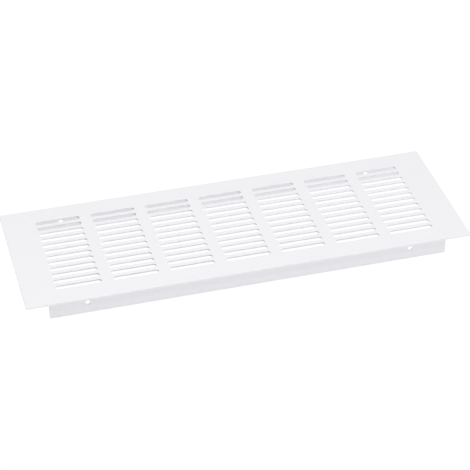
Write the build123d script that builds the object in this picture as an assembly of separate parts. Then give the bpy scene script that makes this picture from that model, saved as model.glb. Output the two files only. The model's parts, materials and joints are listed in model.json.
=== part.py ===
from build123d import *
import os

# Ventilation grille for a worktop or sill cut-out.
# One aluminium profile: a flat plate on two webs that stand down into the cut-out.
# The plate is punched with a field of round-ended slots, and the webs are cut back at both ends,
# so that the plate overhangs them all round and rests on the rim of the cut-out.
# Millimetres, X along the length, +Z up, origin at the middle of the footprint, on the feet of the webs.

# Plate
plate_length = 400.0
plate_width = 140.0
plate_thickness = 1.5
corner_radius = 0.8
edge_radius = 0.4

# Webs under the plate
overall_height = 21.5
web_thickness = 1.5
web_setback = 8.0
web_end_setback = 20.5
root_radius = 0.5

# Slots: the punch, and the metal that is left between two slots
slot_length = 40.0
slot_width = 4.8
slot_end_sides = 16
column_bridge = 10.3
row_bar = 4.0

# Screw holes through the webs
screw_hole_diameter = 4.5
screw_hole_end_distance = 33.5
screw_hole_height = 10.7

# Sizes that follow from those above
underside = overall_height - plate_thickness
web_length = plate_length - 2 * web_end_setback
web_outer_face = plate_width / 2 - web_setback
web_inner_face = web_outer_face - web_thickness
screw_hole_x = web_length / 2 - screw_hole_end_distance
soft_edge = min(edge_radius, plate_thickness / 3, web_thickness / 3)

# The slot field fills the plate between the webs and over their length,
# less half a row of plain plate beside each web.
column_pitch = slot_length + column_bridge
row_pitch = slot_width + row_bar
slot_columns = int(web_length // column_pitch)
slot_rows = int(2 * web_inner_face // row_pitch) - 1


def profile_section():
    """Section across the length: the plate with its two webs, with radii at the roots and free edges."""
    with BuildSketch(Plane.YZ) as section:
        with Locations((0, underside)):
            Rectangle(plate_width, plate_thickness, align=(Align.CENTER, Align.MIN))
        for side in (-1, 1):
            with Locations((side * (web_inner_face + web_outer_face) / 2, 0)):
                Rectangle(web_thickness, underside, align=(Align.CENTER, Align.MIN))
        roots = section.vertices().group_by(Axis.Y)[1].sort_by(Axis.X)[1:-1]
        fillet(roots, root_radius)
        feet = section.vertices().group_by(Axis.Y)[0]
        fillet(feet, soft_edge)
    return section.sketch


def slot_outline():
    """One slot: straight long sides, and ends rounded with the sides of a regular polygon."""
    centre_distance = slot_length - slot_width
    with BuildSketch() as outline:
        Rectangle(centre_distance, slot_width)
        with GridLocations(centre_distance, 0, 2, 1):
            RegularPolygon(slot_width / 2, slot_end_sides)
    return outline.sketch


def slot_field():
    """The rows and columns of slots, on the top face of the plate."""
    with BuildSketch(Plane.XY.offset(overall_height)) as field:
        with GridLocations(column_pitch, row_pitch, slot_columns, slot_rows):
            add(slot_outline())
    return field.sketch


def screw_hole_outlines():
    """The two screw holes of each web, seen along Y."""
    with BuildSketch(Plane.XZ) as holes:
        with Locations((-screw_hole_x, screw_hole_height), (screw_hole_x, screw_hole_height)):
            Circle(screw_hole_diameter / 2)
    return holes.sketch


def vent_grille():
    """The profile, with its webs cut back, its free edges softened, and its slots and screw holes cut."""
    with BuildPart() as grille:
        extrude(profile_section(), plate_length / 2, both=True)

        # The webs stop short of the plate at both ends
        for side in (-1, 1):
            with Locations((side * plate_length / 2, 0, 0)):
                Box(
                    2 * web_end_setback,
                    plate_width,
                    underside,
                    align=(Align.CENTER, Align.CENTER, Align.MIN),
                    mode=Mode.SUBTRACT,
                )

        # Plate corners, then the rim round the top face
        upright = grille.edges().filter_by(Axis.Z)
        outermost = upright.group_by(lambda edge: round(abs(edge.center().X), 3))[-1]
        fillet(outermost, corner_radius)
        rim = grille.faces().sort_by(Axis.Z)[-1].outer_wire().edges()
        fillet(rim, soft_edge)

        # Screw holes right through both webs, and slots right through the plate
        extrude(screw_hole_outlines(), plate_width / 2, both=True, mode=Mode.SUBTRACT)
        extrude(slot_field(), -plate_thickness, mode=Mode.SUBTRACT)
    return grille.part


os.makedirs("parts", exist_ok=True)
export_step(vent_grille(), "parts/vent_grille.step")
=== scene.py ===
import json
import math

import bmesh
import bpy
from bpy.props import FloatProperty, FloatVectorProperty, IntProperty, PointerProperty
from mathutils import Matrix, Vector


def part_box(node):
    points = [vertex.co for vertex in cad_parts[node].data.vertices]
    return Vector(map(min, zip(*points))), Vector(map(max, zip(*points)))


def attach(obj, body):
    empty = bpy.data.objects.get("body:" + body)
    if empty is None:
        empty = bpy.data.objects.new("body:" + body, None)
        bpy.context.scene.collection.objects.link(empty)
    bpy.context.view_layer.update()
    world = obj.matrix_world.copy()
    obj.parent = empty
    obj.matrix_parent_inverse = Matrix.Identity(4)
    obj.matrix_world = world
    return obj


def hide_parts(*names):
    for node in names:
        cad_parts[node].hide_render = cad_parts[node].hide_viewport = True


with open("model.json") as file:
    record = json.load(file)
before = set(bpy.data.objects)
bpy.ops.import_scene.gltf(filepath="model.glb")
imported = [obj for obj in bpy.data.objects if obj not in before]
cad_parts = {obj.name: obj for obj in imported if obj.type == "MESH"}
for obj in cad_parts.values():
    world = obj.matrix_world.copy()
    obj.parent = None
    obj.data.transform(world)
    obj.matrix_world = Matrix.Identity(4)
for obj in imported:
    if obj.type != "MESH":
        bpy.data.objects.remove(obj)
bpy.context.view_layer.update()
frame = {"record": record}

bl_info = {
    "name": "Slotted Vent Grille",
    "version": (1, 0, 0),
    "blender": (4, 5, 0),
    "location": "View3D > Sidebar > Vent Grille",
    "description": "Builds a white coated vent grille on its packed solid, and a white studio round it",
    "category": "Object",
}

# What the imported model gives
GRILLE_NODE = "vent_grille"
GRILLE_BODY = "root"
COATING_SLOT = "white_coating"
MILLIMETRE = 0.001

# Painted shade in the slots, and thin coating on edges, from 0 to 1. The slot walls carry painted shade,
# most at their right ends, which face away from the stronger light from the right, and least at their left
# ends.
# On outer edges and hole rims the coating is drawn a little thin. The slots' values are those in the middle
# of the plate, and rise by this share to its left edge.
SLOT_RIGHT_PAINTED_SHADE = 0.64
SLOT_SIDE_PAINTED_SHADE = 0.17
SLOT_LEFT_PAINTED_SHADE = 0.0
SLOT_PAINTED_SHADE_RISE = 0.5
RIM_THINNESS = 0.08
# Mesh layer that holds the painted shade of the slots and the thin coating on edges
SHADE_AND_THINNESS_LAYER = "slot_shade_and_edge_thinness"

# Noises of the coating: the share of the grain in its relief, and how finely each noise is broken up
GRAIN_SHARE = 0.25
GRAIN_DETAIL = 2.0
RIPPLE_DETAIL = 1.0
CLOUD_DETAIL = 2.0

# Edges sharper than this are rounded
SHARP_ANGLE = math.radians(40)

# Flat square round a screw hole, from its rim, in widths of the edge band
HOLE_BORDER_BANDS = 3

# Colour of the light and the backdrop, and the least light on the open floor, which still shows it as white
WHITE = (1.0, 1.0, 1.0)
OPEN_FLOOR_LIGHT = 0.5

# Stage, in metres
FLOOR_HALF_SIZE = 4.0
FLOOR_DROP = 0.1 * MILLIMETRE
VIEW_REACH = 100.0
TOP_LAMP_PLACE = (-0.1, -0.5, 1.8)
TOP_LAMP_SIZE = 1.6
FRONT_LAMP_PLACE = (-0.5, -2.0, 0.5)
FRONT_LAMP_SIZE = 1.0

grille_low, grille_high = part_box(GRILLE_NODE)
mounts = {mount["name"]: mount for mount in frame["record"]["mounts"]}
screw_holes = mounts["front_screw_holes"]
coating = next(slot for slot in frame["record"]["materials"] if slot["slot"] == COATING_SLOT)


class GrilleSizes(bpy.types.PropertyGroup):
    """Sizes of the grille, in metres."""

    plate_length: FloatProperty(
        name="Plate Length",
        description="Length of the plate, along X",
        default=grille_high.x - grille_low.x,
        unit="LENGTH",
    )
    plate_width: FloatProperty(
        name="Plate Width",
        description="Width of the plate, along Y",
        default=grille_high.y - grille_low.y,
        unit="LENGTH",
    )
    top_height: FloatProperty(
        name="Top Height",
        description="Height of the top face above the feet of the webs",
        default=grille_high.z,
        unit="LENGTH",
    )
    underside_height: FloatProperty(
        name="Underside Height",
        description="Height of the plate's underside above the feet of the webs",
        default=mounts["rim_seat"]["pos_m"][2],
        unit="LENGTH",
    )
    web_outer_face: FloatProperty(
        name="Web Outer Face",
        description="Distance from the middle of the plate to the outer face of a web",
        default=abs(screw_holes["pos_m"][1]),
        unit="LENGTH",
    )
    web_thickness: FloatProperty(
        name="Web Thickness",
        description="Thickness of a web",
        default=1.5 * MILLIMETRE,
        unit="LENGTH",
    )
    web_end_setback: FloatProperty(
        name="Web End Setback",
        description="Distance from the short edge of the plate to the end of a web",
        default=20.5 * MILLIMETRE,
        unit="LENGTH",
    )
    slot_length: FloatProperty(
        name="Slot Length",
        description="Length of a slot over its round ends",
        default=40.0 * MILLIMETRE,
        unit="LENGTH",
    )
    slot_width: FloatProperty(
        name="Slot Width",
        description="Width of a slot",
        default=4.8 * MILLIMETRE,
        unit="LENGTH",
    )
    column_pitch: FloatProperty(
        name="Column Pitch",
        description="Distance between the middles of two slots in a row",
        default=50.3 * MILLIMETRE,
        unit="LENGTH",
    )
    row_pitch: FloatProperty(
        name="Row Pitch",
        description="Distance between the middles of two rows of slots",
        default=8.8 * MILLIMETRE,
        unit="LENGTH",
    )
    slot_columns: IntProperty(
        name="Slot Columns",
        description="Number of slots in a row",
        default=7,
        min=1,
    )
    slot_rows: IntProperty(
        name="Slot Rows",
        description="Number of rows of slots",
        default=12,
        min=1,
    )
    screw_spacing: FloatProperty(
        name="Screw Spacing",
        description="Distance between the two screw holes of a web",
        default=screw_holes["dims"]["spacing_x_mm"] * MILLIMETRE,
        unit="LENGTH",
    )
    screw_height: FloatProperty(
        name="Screw Height",
        description="Height of a screw hole above the foot of its web",
        default=screw_holes["pos_m"][2],
        unit="LENGTH",
    )
    screw_radius: FloatProperty(
        name="Screw Hole Radius",
        description="Radius of a screw hole",
        default=screw_holes["dims"]["hole_r_mm"] * MILLIMETRE,
        unit="LENGTH",
    )
    edge_radius: FloatProperty(
        name="Edge Radius",
        description="Radius that the coating gives to every edge and root",
        default=0.22 * MILLIMETRE,
        unit="LENGTH",
    )
    # At the slot rims this strip carries the painted shade of the slot walls out onto the faces
    edge_band: FloatProperty(
        name="Edge Band",
        description="Width of the strip along an edge where the coating is drawn thin",
        default=0.5 * MILLIMETRE,
        unit="LENGTH",
    )
    arc_steps: IntProperty(
        name="Arc Steps",
        description="Number of sides that make a half circle",
        default=14,
        min=4,
    )
    edge_steps: IntProperty(
        name="Edge Steps",
        description="Number of sides that make a rounded edge",
        default=3,
        min=1,
    )


class CoatingLook(bpy.types.PropertyGroup):
    """Colour and surface of the white coating."""

    face_color: FloatVectorProperty(
        name="Face Colour",
        description="Colour of the coating on the flat faces",
        default=coating["base_color"][:3],
        subtype="COLOR",
        min=0.0,
        max=1.0,
    )
    # Colour of the painted shade in the slots, and of the thin coating along edges and in faint clouds
    shade_and_thin_color: FloatVectorProperty(
        name="Shade and Thin Colour",
        description="Colour of the coating where it is thin: in the slots, along edges and in faint clouds",
        default=(0.455, 0.45, 0.46),
        subtype="COLOR",
        min=0.0,
        max=1.0,
    )
    # How much painted shade shows in the slots, and how much thin coating along edges
    shade_and_thin_amount: FloatProperty(
        name="Shade and Thin Amount",
        description="How much of the thin colour shows where the coating is thinnest",
        default=0.9,
        subtype="FACTOR",
        min=0.0,
        max=1.0,
    )
    cloud_amount: FloatProperty(
        name="Cloud Amount",
        description="How much of the thin colour shows in faint clouds on the faces",
        default=0.033,
        subtype="FACTOR",
        min=0.0,
        max=1.0,
    )
    cloud_size: FloatProperty(
        name="Cloud Size",
        description="Size of the faint clouds in the coating",
        default=45 * MILLIMETRE,
        unit="LENGTH",
    )
    smooth_roughness: FloatProperty(
        name="Smooth Roughness",
        description="Roughness where the coating has flowed out well",
        default=0.36,
        subtype="FACTOR",
        min=0.0,
        max=1.0,
    )
    dry_roughness: FloatProperty(
        name="Dry Roughness",
        description="Roughness where the coating is drier",
        default=0.5,
        subtype="FACTOR",
        min=0.0,
        max=1.0,
    )
    peel_size: FloatProperty(
        name="Peel Size",
        description="Size of the soft ripples of the cured coating",
        default=1.6 * MILLIMETRE,
        unit="LENGTH",
    )
    grain_size: FloatProperty(
        name="Grain Size",
        description="Size of the fine grain of the powder",
        default=0.25 * MILLIMETRE,
        unit="LENGTH",
    )
    peel_depth: FloatProperty(
        name="Peel Depth",
        description="Depth of the ripples and the grain",
        default=0.06 * MILLIMETRE,
        unit="LENGTH",
        precision=6,
    )


class StageLook(bpy.types.PropertyGroup):
    """Camera, light and floor."""

    camera_lens: FloatProperty(
        name="Lens",
        description="Focal length of the camera, on a sensor 36 mm wide",
        default=134.1,
        unit="CAMERA",
    )
    camera_heading: FloatProperty(
        name="Heading",
        description="Turn of the view to the right of +Y",
        default=math.radians(15.44),
        subtype="ANGLE",
    )
    camera_elevation: FloatProperty(
        name="Elevation",
        description="Angle at which the camera looks down",
        default=math.radians(36.01),
        subtype="ANGLE",
    )
    camera_distance: FloatProperty(
        name="Distance",
        description="Distance from the camera to its target",
        default=1.5558,
        unit="LENGTH",
    )
    camera_target: FloatVectorProperty(
        name="Target",
        description="Point that the camera looks at",
        default=(-0.0028, -0.0152, grille_high.z),
        subtype="TRANSLATION",
    )
    table_color: FloatVectorProperty(
        name="Table Colour",
        description="Colour of the floor",
        default=(0.3, 0.3, 0.3),
        subtype="COLOR",
        min=0.0,
        max=1.0,
    )
    glow_color: FloatVectorProperty(
        name="Glow Colour",
        description="Colour of the light that comes up through the white floor",
        default=(0.98, 0.985, 1.0),
        subtype="COLOR",
        min=0.0,
        max=1.0,
    )
    left_glow: FloatProperty(
        name="Left Glow",
        description="Light that comes up through the white floor at the left end of the grille",
        default=0.71,
        min=0.0,
        max=1.0,
    )
    right_glow: FloatProperty(
        name="Right Glow",
        description="Light that comes up through the white floor at the right end of the grille",
        default=0.765,
        min=0.0,
        max=1.0,
    )
    shadow_depth: FloatProperty(
        name="Shadow Depth",
        description="How much of the object's shadow the white floor shows",
        default=0.1,
        subtype="FACTOR",
        min=0.0,
        max=1.0,
    )
    room_light: FloatProperty(
        name="Room Light",
        description="Strength of the even light from all round",
        default=0.5,
        min=0.0,
    )
    room_bias: FloatProperty(
        name="Room Bias",
        description="How much more of the even light comes from the right than from the left",
        default=0.75,
        subtype="FACTOR",
        min=0.0,
        max=1.0,
    )
    top_power: FloatProperty(
        name="Top Power",
        description="Power of the large soft lamp overhead",
        default=21.5,
        unit="POWER",
        min=0.0,
    )
    front_power: FloatProperty(
        name="Front Power",
        description="Power of the low soft lamp in front",
        default=2.0,
        unit="POWER",
        min=0.0,
    )


def symmetric_lines(borders, outer):
    """Line positions in rising order: the outer ones on both sides of the borders between them."""
    return [-line for line in reversed(outer)] + borders + outer


def cell_borders(count, pitch):
    """Borders of a row of equal cells about the middle."""
    return [(number - count / 2) * pitch for number in range(count + 1)]


def slot_points(centre_x, centre_y, half_straight, radius, height, steps):
    """Points round a slot, anticlockwise from above, from the near corner of its right end."""
    points = []
    for side in (1, -1):
        for step in range(steps + 1):
            angle = math.pi * (step / steps - 0.5)
            across = half_straight + radius * math.cos(angle)
            along = radius * math.sin(angle)
            points.append((centre_x + side * across, centre_y + side * along, height))
    return points


def slot_painted_shade(steps):
    """Painted shade at the points round a slot, in their order."""
    painted_shade_and_thinness = []
    for at_end in (SLOT_RIGHT_PAINTED_SHADE, SLOT_LEFT_PAINTED_SHADE):
        for step in range(steps + 1):
            end_share = math.sin(math.pi * step / steps)
            painted_shade_and_thinness.append(SLOT_SIDE_PAINTED_SHADE + (at_end - SLOT_SIDE_PAINTED_SHADE) * end_share)
    return painted_shade_and_thinness


def hole_points(centre_x, depth, centre_z, radius, steps):
    """Points round a screw hole, anticlockwise as seen along +Y."""
    points = []
    for step in range(2 * steps):
        angle = math.pi * step / steps
        points.append((centre_x + radius * math.cos(angle), depth, centre_z + radius * math.sin(angle)))
    return points


class GrilleMesh:
    """The mesh of the grille while it is being put together."""

    def __init__(self, sizes):
        self.sizes = sizes
        self.mesh = bmesh.new()
        self.shade_and_thinness_layer = self.mesh.verts.layers.float.new(SHADE_AND_THINNESS_LAYER)

    def points(self, places, painted_shade_and_thinness=0.0):
        """New vertices at these places, with this value in the layer of painted slot shade and thin coating
        on edges.
        """
        made = [self.mesh.verts.new(place) for place in places]
        for vertex in made:
            vertex[self.shade_and_thinness_layer] = painted_shade_and_thinness
        return made

    def face(self, corners, flip=False):
        """A face with these corners, anticlockwise from outside unless it is flipped."""
        self.mesh.faces.new(corners[::-1] if flip else corners)

    def band(self, outer, inner, flip=False):
        """The strip between two loops of as many points."""
        for here in range(len(outer)):
            after = (here + 1) % len(outer)
            self.face([outer[here], outer[after], inner[after], inner[here]], flip)

    def fill_cell(self, corners, loop, flip=False):
        """The flat metal between a loop and the four corners of its cell, both anticlockwise."""
        owners = []
        for here in range(len(loop)):
            middle = (loop[here].co + loop[(here + 1) % len(loop)].co) / 2
            reach = [(corner.co - middle).length for corner in corners]
            owners.append(reach.index(min(reach)))
        for here, owner in enumerate(owners):
            before = owners[here - 1]
            if before != owner:
                self.face([loop[here], corners[before], corners[owner]], flip)
            self.face([loop[here], corners[owner], loop[(here + 1) % len(loop)]], flip)

    def round_opening(self, corners, rim, band_edge, flip=False):
        """A cell with an opening: the band along its rim, and the flat metal round that."""
        self.band(band_edge, rim, flip)
        self.fill_cell(corners, band_edge, flip)

    def plate(self):
        """The slotted plate. Returns its underside's vertices, and the end lines and rows of the webs."""
        sizes = self.sizes
        half_length = sizes.plate_length / 2
        half_width = sizes.plate_width / 2
        web_inner_face = sizes.web_outer_face - sizes.web_thickness
        outer_x = [half_length - sizes.web_end_setback, half_length - sizes.edge_band, half_length]
        outer_y = [web_inner_face, sizes.web_outer_face, half_width - sizes.edge_band, half_width]
        x_lines = symmetric_lines(cell_borders(sizes.slot_columns, sizes.column_pitch), outer_x)
        y_lines = symmetric_lines(cell_borders(sizes.slot_rows, sizes.row_pitch), outer_y)
        top = self.sheet(x_lines, y_lines, sizes.top_height)
        under = self.sheet(x_lines, y_lines, sizes.underside_height)

        # The slots fill the cells inside the outer lines, and a web stands under a row of cells on each side
        slot_columns = range(len(outer_x), len(outer_x) + sizes.slot_columns)
        slot_rows = range(len(outer_y), len(outer_y) + sizes.slot_rows)
        web_ends = (len(outer_x) - 1, len(x_lines) - len(outer_x))
        web_rows = (len(outer_y) - 2, len(y_lines) - len(outer_y))
        for column in range(len(x_lines) - 1):
            for row in range(len(y_lines) - 1):
                cell = [(column, row), (column + 1, row), (column + 1, row + 1), (column, row + 1)]
                over = [top[place] for place in cell]
                below = [under[place] for place in cell]
                if column in slot_columns and row in slot_rows:
                    self.slot(over, below)
                    continue
                self.face(over)
                over_web = row in web_rows and web_ends[0] <= column < web_ends[1]
                if not over_web:
                    self.face(below, flip=True)
        self.rim(top, under, len(x_lines) - 1, len(y_lines) - 1)
        return under, web_ends, web_rows

    def sheet(self, x_lines, y_lines, height):
        """Vertices where the lines cross at this height, by line numbers."""
        made = {}
        last_column = len(x_lines) - 1
        last_row = len(y_lines) - 1
        for column, x in enumerate(x_lines):
            for row, y in enumerate(y_lines):
                on_rim = column in (0, last_column) or row in (0, last_row)
                made[column, row] = self.points([(x, y, height)], RIM_THINNESS * on_rim)[0]
        return made

    def slot(self, over, below):
        """One slot through the plate, in the cell with these corners above and below."""
        sizes = self.sizes
        centre = (over[0].co + over[2].co) / 2
        radius = sizes.slot_width / 2
        half_straight = sizes.slot_length / 2 - radius
        # The painted shade of the slots grows towards the left edge of the plate
        shade_rise = 1.0 - SLOT_PAINTED_SHADE_RISE * centre.x / (sizes.plate_length / 2)
        rims = []
        for corners, flip in ((over, False), (below, True)):
            height = corners[0].co.z
            outlines = [
                slot_points(centre.x, centre.y, half_straight, radius + widening, height, sizes.arc_steps)
                for widening in (0.0, sizes.edge_band)
            ]
            rim = self.points(outlines[0])
            # The slot rims carry the painted shade of the slot walls
            for vertex, painted_shade_and_thinness in zip(rim, slot_painted_shade(sizes.arc_steps)):
                vertex[self.shade_and_thinness_layer] = painted_shade_and_thinness * shade_rise
            band_edge = self.points(outlines[1])
            self.round_opening(corners, rim, band_edge, flip)
            rims.append(rim)
        self.band(rims[0], rims[1])

    def rim(self, top, under, last_column, last_row):
        """The outer wall of the plate, from its underside to its top face."""
        border = [(column, 0) for column in range(last_column)]
        border += [(last_column, row) for row in range(last_row)]
        border += [(column, last_row) for column in range(last_column, 0, -1)]
        border += [(0, row) for row in range(last_row, 0, -1)]
        self.band([under[place] for place in border], [top[place] for place in border])

    def web(self, under, web_ends, row):
        """One web, from its root on the plate down to its foot."""
        first, last = web_ends
        sides = []
        hole_rims = []
        for line, flip in ((row, False), (row + 1, True)):
            root = [under[column, line] for column in range(first, last + 1)]
            side, rims = self.web_side(root, flip)
            sides.append(side)
            hole_rims.append(rims)
        for front_rim, back_rim in zip(*hole_rims):
            self.band(front_rim, back_rim)
        front, back = sides
        for level in range(len(front) - 1):
            self.face([back[level][0], front[level][0], front[level + 1][0], back[level + 1][0]])
            self.face([front[level][-1], back[level][-1], back[level + 1][-1], front[level + 1][-1]])
        self.face([front[0][0], back[0][0], back[0][-1], front[0][-1]])

    def web_side(self, root, flip):
        """One face of a web, under these vertices of its root. Returns its levels and its hole rims."""
        sizes = self.sizes
        end = root[-1].co.x
        depth = root[0].co.y
        hole_x = sizes.screw_spacing / 2
        reach = sizes.screw_radius + HOLE_BORDER_BANDS * sizes.edge_band
        stops = [-end, -hole_x - reach, -hole_x + reach, hole_x - reach, hole_x + reach, end]
        foot = self.points([(-end, depth, 0.0), (end, depth, 0.0)], RIM_THINNESS)
        lower = self.points([(x, depth, sizes.screw_height - reach) for x in stops])
        upper = self.points([(x, depth, sizes.screw_height + reach) for x in stops])
        self.face(foot + lower[::-1], flip)
        self.face(upper + root[::-1], flip)

        # Plain stretches and squares with a hole take turns along the web
        rims = []
        for stop in range(len(stops) - 1):
            corners = [lower[stop], lower[stop + 1], upper[stop + 1], upper[stop]]
            if stop % 2 == 0:
                self.face(corners, flip)
                continue
            centre_x = (stops[stop] + stops[stop + 1]) / 2
            radii = (sizes.screw_radius, sizes.screw_radius + sizes.edge_band)
            outlines = [
                hole_points(centre_x, depth, sizes.screw_height, radius, sizes.arc_steps) for radius in radii
            ]
            rim = self.points(outlines[0], RIM_THINNESS)
            band_edge = self.points(outlines[1])
            self.round_opening(corners, rim, band_edge, flip)
            rims.append(rim)
        return [foot, lower, upper, root], rims

    def finish(self, name):
        """The finished mesh, shaded smooth."""
        data = bpy.data.meshes.new(name)
        self.mesh.to_mesh(data)
        self.mesh.free()
        data.shade_smooth()
        return data


def add_node(tree, kind, label, **settings):
    """A shader node with a label and its settings."""
    node = tree.nodes.new(kind)
    node.label = label
    for setting, value in settings.items():
        setattr(node, setting, value)
    return node


def noise(tree, coordinates, label, feature_size, detail):
    """A soft noise whose features have this size, in metres."""
    node = add_node(tree, "ShaderNodeTexNoise", label)
    node.inputs["Scale"].default_value = 1.0 / feature_size
    node.inputs["Detail"].default_value = detail
    tree.links.new(coordinates, node.inputs["Vector"])
    return node.outputs["Fac"]


def scaled(tree, value, factor, label):
    """A value times a factor."""
    node = add_node(tree, "ShaderNodeMath", label, operation="MULTIPLY")
    node.inputs[1].default_value = factor
    tree.links.new(value, node.inputs[0])
    return node.outputs["Value"]


def combined(tree, first, second, operation, label):
    """Two values put together."""
    node = add_node(tree, "ShaderNodeMath", label, operation=operation)
    tree.links.new(first, node.inputs[0])
    tree.links.new(second, node.inputs[1])
    return node.outputs["Value"]


def coating_material(look):
    """White powder coating: soft ripples, fine grain, faint clouds, thinner along edges, and painted shade
    in the slots.
    """
    material = bpy.data.materials.new("white_powder_coating")
    material.use_nodes = True
    tree = material.node_tree
    shader = tree.nodes["Principled BSDF"]
    place = add_node(tree, "ShaderNodeTexCoord", "Place on the grille").outputs["Object"]

    clouds = noise(tree, place, "Clouds", look.cloud_size, CLOUD_DETAIL)
    # Painted shade in the slots and thin coating on edges, from the mesh layer, mixed with the faint clouds
    painted_shade_and_thinness = add_node(tree, "ShaderNodeAttribute", "Painted shade and thinness", attribute_name=SHADE_AND_THINNESS_LAYER)
    cloud_share = scaled(tree, clouds, look.cloud_amount, "Share of clouds")
    shade_and_thin_share = scaled(tree, painted_shade_and_thinness.outputs["Fac"], look.shade_and_thin_amount, "Share of painted shade and thin places")
    thin = combined(tree, cloud_share, shade_and_thin_share, "MAXIMUM", "Painted shade and thin coating")

    colour = add_node(tree, "ShaderNodeMix", "Coating colour", data_type="RGBA")
    colour.inputs["A"].default_value = (*look.face_color, 1.0)
    colour.inputs["B"].default_value = (*look.shade_and_thin_color, 1.0)
    tree.links.new(thin, colour.inputs["Factor"])
    tree.links.new(colour.outputs["Result"], shader.inputs["Base Color"])

    flow = add_node(tree, "ShaderNodeMapRange", "Flow of the coating")
    flow.inputs["To Min"].default_value = look.smooth_roughness
    flow.inputs["To Max"].default_value = look.dry_roughness
    tree.links.new(clouds, flow.inputs["Value"])
    tree.links.new(flow.outputs["Result"], shader.inputs["Roughness"])

    ripples = noise(tree, place, "Ripples", look.peel_size, RIPPLE_DETAIL)
    grain = noise(tree, place, "Grain", look.grain_size, GRAIN_DETAIL)
    grain_share = scaled(tree, grain, GRAIN_SHARE, "Share of grain")
    relief = combined(tree, ripples, grain_share, "ADD", "Relief")
    bump = add_node(tree, "ShaderNodeBump", "Coating relief")
    bump.inputs["Distance"].default_value = look.peel_depth
    tree.links.new(relief, bump.inputs["Height"])
    tree.links.new(bump.outputs["Normal"], shader.inputs["Normal"])
    return material


def seen_directly(tree):
    """One where the camera, a reflection or clear glass sees the surface, zero for the light it gives."""
    path = add_node(tree, "ShaderNodeLightPath", "Ray")
    glossy = combined(
        tree, path.outputs["Is Camera Ray"], path.outputs["Is Glossy Ray"], "MAXIMUM", "Camera or gloss"
    )
    return combined(tree, glossy, path.outputs["Is Transmission Ray"], "MAXIMUM", "Seen directly")


def glowing_surface(tree, color, glow_color, label):
    """A matt surface with some light of its own. Returns its shader and the light's strength socket."""
    matt = add_node(tree, "ShaderNodeBsdfDiffuse", label + " surface")
    matt.inputs["Color"].default_value = (*color, 1.0)
    light = add_node(tree, "ShaderNodeEmission", label + " glow")
    light.inputs["Color"].default_value = (*glow_color, 1.0)
    both = add_node(tree, "ShaderNodeAddShader", label)
    tree.links.new(matt.outputs["BSDF"], both.inputs[0])
    tree.links.new(light.outputs["Emission"], both.inputs[1])
    return both.outputs["Shader"], light.inputs["Strength"]


def table_material(look, grille_length):
    """White light table: it glows softly under the object, and shows white with a faint shadow."""
    material = bpy.data.materials.new("white_light_table")
    material.use_nodes = True
    tree = material.node_tree
    tree.nodes.remove(tree.nodes["Principled BSDF"])
    lit, lit_glow = glowing_surface(tree, look.table_color, look.glow_color, "Light table")
    place = add_node(tree, "ShaderNodeTexCoord", "Place on the table").outputs["Object"]
    axes = add_node(tree, "ShaderNodeSeparateXYZ", "Place by axes")
    tree.links.new(place, axes.inputs["Vector"])
    ramp = add_node(tree, "ShaderNodeMapRange", "Glow from left to right")
    ramp.inputs["From Min"].default_value = -grille_length / 2
    ramp.inputs["From Max"].default_value = grille_length / 2
    ramp.inputs["To Min"].default_value = look.left_glow
    ramp.inputs["To Max"].default_value = look.right_glow
    tree.links.new(axes.outputs["X"], ramp.inputs["Value"])
    tree.links.new(ramp.outputs["Result"], lit_glow)
    shown, shown_glow = glowing_surface(tree, [look.shadow_depth] * 3, WHITE, "White floor")
    shown_glow.default_value = 1.0 - look.shadow_depth * OPEN_FLOOR_LIGHT
    choice = add_node(tree, "ShaderNodeMixShader", "Lit or shown")
    tree.links.new(seen_directly(tree), choice.inputs["Fac"])
    tree.links.new(lit, choice.inputs[1])
    tree.links.new(shown, choice.inputs[2])
    tree.links.new(choice.outputs["Shader"], tree.nodes["Material Output"].inputs["Surface"])
    return material


def white_room(look):
    """A world that gives soft light, more of it from the right, and shows white."""
    world = bpy.data.worlds.new("white_room")
    world.use_nodes = True
    tree = world.node_tree
    direction = add_node(tree, "ShaderNodeTexCoord", "Direction").outputs["Generated"]
    axes = add_node(tree, "ShaderNodeSeparateXYZ", "Direction by axes")
    tree.links.new(direction, axes.inputs["Vector"])
    strength = add_node(tree, "ShaderNodeMath", "More from the right", operation="MULTIPLY_ADD")
    tree.links.new(axes.outputs["X"], strength.inputs[0])
    strength.inputs[1].default_value = look.room_light * look.room_bias
    strength.inputs[2].default_value = look.room_light
    lit = tree.nodes["Background"]
    lit.inputs["Color"].default_value = (*WHITE, 1.0)
    tree.links.new(strength.outputs["Value"], lit.inputs["Strength"])
    shown = add_node(tree, "ShaderNodeBackground", "White backdrop")
    shown.inputs["Color"].default_value = (*WHITE, 1.0)
    choice = add_node(tree, "ShaderNodeMixShader", "Lit or shown")
    tree.links.new(seen_directly(tree), choice.inputs["Fac"])
    tree.links.new(lit.outputs["Background"], choice.inputs[1])
    tree.links.new(shown.outputs["Background"], choice.inputs[2])
    tree.links.new(choice.outputs["Shader"], tree.nodes["World Output"].inputs["Surface"])
    return world


def link_object(name, data):
    """An object in the scene's collection."""
    made = bpy.data.objects.new(name, data)
    bpy.context.scene.collection.objects.link(made)
    return made


def soft_lamp(name, place, size, power):
    """A large square lamp that shines from this place at the middle of the grille."""
    data = bpy.data.lights.new(name, "AREA")
    data.size = size
    data.energy = power
    lamp = link_object(name, data)
    lamp.location = place
    lamp.rotation_euler = (-Vector(place)).to_track_quat("-Z", "Y").to_euler()
    lamp.visible_camera = False


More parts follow.
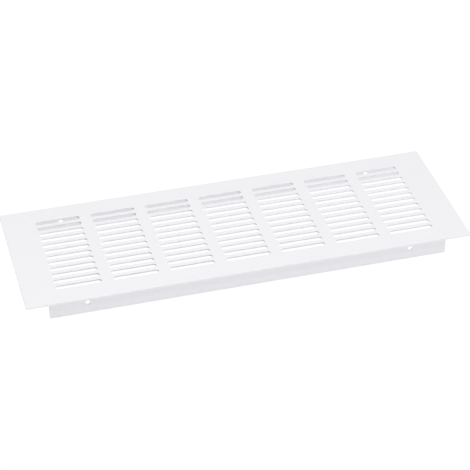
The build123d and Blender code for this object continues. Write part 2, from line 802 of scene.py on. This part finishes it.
class OBJECT_OT_build_vent_grille(bpy.types.Operator):
    """Build the coated grille in place of its plain solid"""

    bl_idname = "object.build_vent_grille"
    bl_label = "Build Vent Grille"

    def execute(self, context):
        sizes = context.scene.grille_sizes
        builder = GrilleMesh(sizes)
        under, web_ends, web_rows = builder.plate()
        for row in web_rows:
            builder.web(under, web_ends, row)
        grille = link_object("coated_vent_grille", builder.finish("coated_vent_grille"))
        grille.data.materials.append(coating_material(context.scene.coating_look))

        edges = grille.modifiers.new("Coated edges", "BEVEL")
        edges.width = sizes.edge_radius
        edges.segments = sizes.edge_steps
        edges.limit_method = "ANGLE"
        edges.angle_limit = SHARP_ANGLE
        edges.use_clamp_overlap = False
        edges.harden_normals = True

        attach(grille, GRILLE_BODY)
        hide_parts(GRILLE_NODE)
        return {"FINISHED"}


class SCENE_OT_build_white_stage(bpy.types.Operator):
    """Build the white floor, the soft light and the camera"""

    bl_idname = "scene.build_white_stage"
    bl_label = "Build White Stage"

    def execute(self, context):
        scene = context.scene
        look = scene.stage_look
        scene.view_settings.view_transform = "Standard"
        scene.world = white_room(look)

        floor_data = bpy.data.meshes.new("white_floor")
        signs = [(-1, -1), (1, -1), (1, 1), (-1, 1)]
        corners = [(x * FLOOR_HALF_SIZE, y * FLOOR_HALF_SIZE, -FLOOR_DROP) for x, y in signs]
        floor_data.from_pydata(corners, [], [(0, 1, 2, 3)])
        floor_data.materials.append(table_material(look, scene.grille_sizes.plate_length))
        link_object("white_floor", floor_data)

        soft_lamp("top_softbox", TOP_LAMP_PLACE, TOP_LAMP_SIZE, look.top_power)
        soft_lamp("front_softbox", FRONT_LAMP_PLACE, FRONT_LAMP_SIZE, look.front_power)

        camera_data = bpy.data.cameras.new("photo_camera")
        camera_data.lens = look.camera_lens
        camera_data.clip_end = VIEW_REACH
        camera = link_object("photo_camera", camera_data)
        flat = math.cos(look.camera_elevation)
        away = Vector(
            (
                -math.sin(look.camera_heading) * flat,
                -math.cos(look.camera_heading) * flat,
                math.sin(look.camera_elevation),
            )
        )
        camera.location = Vector(look.camera_target) + look.camera_distance * away
        camera.rotation_euler = (math.pi / 2 - look.camera_elevation, 0.0, -look.camera_heading)
        scene.camera = camera
        return {"FINISHED"}


class VIEW3D_PT_vent_grille(bpy.types.Panel):
    """Sizes and looks of the grille"""

    bl_label = "Vent Grille"
    bl_space_type = "VIEW_3D"
    bl_region_type = "UI"
    bl_category = "Vent Grille"

    def draw(self, context):
        layout = self.layout
        layout.operator(OBJECT_OT_build_vent_grille.bl_idname)
        layout.operator(SCENE_OT_build_white_stage.bl_idname)
        for group in (context.scene.grille_sizes, context.scene.coating_look, context.scene.stage_look):
            column = layout.column(align=True)
            for name in group.__annotations__:
                column.prop(group, name)


CLASSES = (
    GrilleSizes,
    CoatingLook,
    StageLook,
    OBJECT_OT_build_vent_grille,
    SCENE_OT_build_white_stage,
    VIEW3D_PT_vent_grille,
)


def register():
    for addon_class in CLASSES:
        bpy.utils.register_class(addon_class)
    bpy.types.Scene.grille_sizes = PointerProperty(type=GrilleSizes)
    bpy.types.Scene.coating_look = PointerProperty(type=CoatingLook)
    bpy.types.Scene.stage_look = PointerProperty(type=StageLook)


def unregister():
    del bpy.types.Scene.stage_look
    del bpy.types.Scene.coating_look
    del bpy.types.Scene.grille_sizes
    for addon_class in reversed(CLASSES):
        bpy.utils.unregister_class(addon_class)


def main():
    """Build the grille and its stage."""
    register()
    bpy.ops.object.build_vent_grille()
    bpy.ops.scene.build_white_stage()


if __name__ == "__main__":
    main()
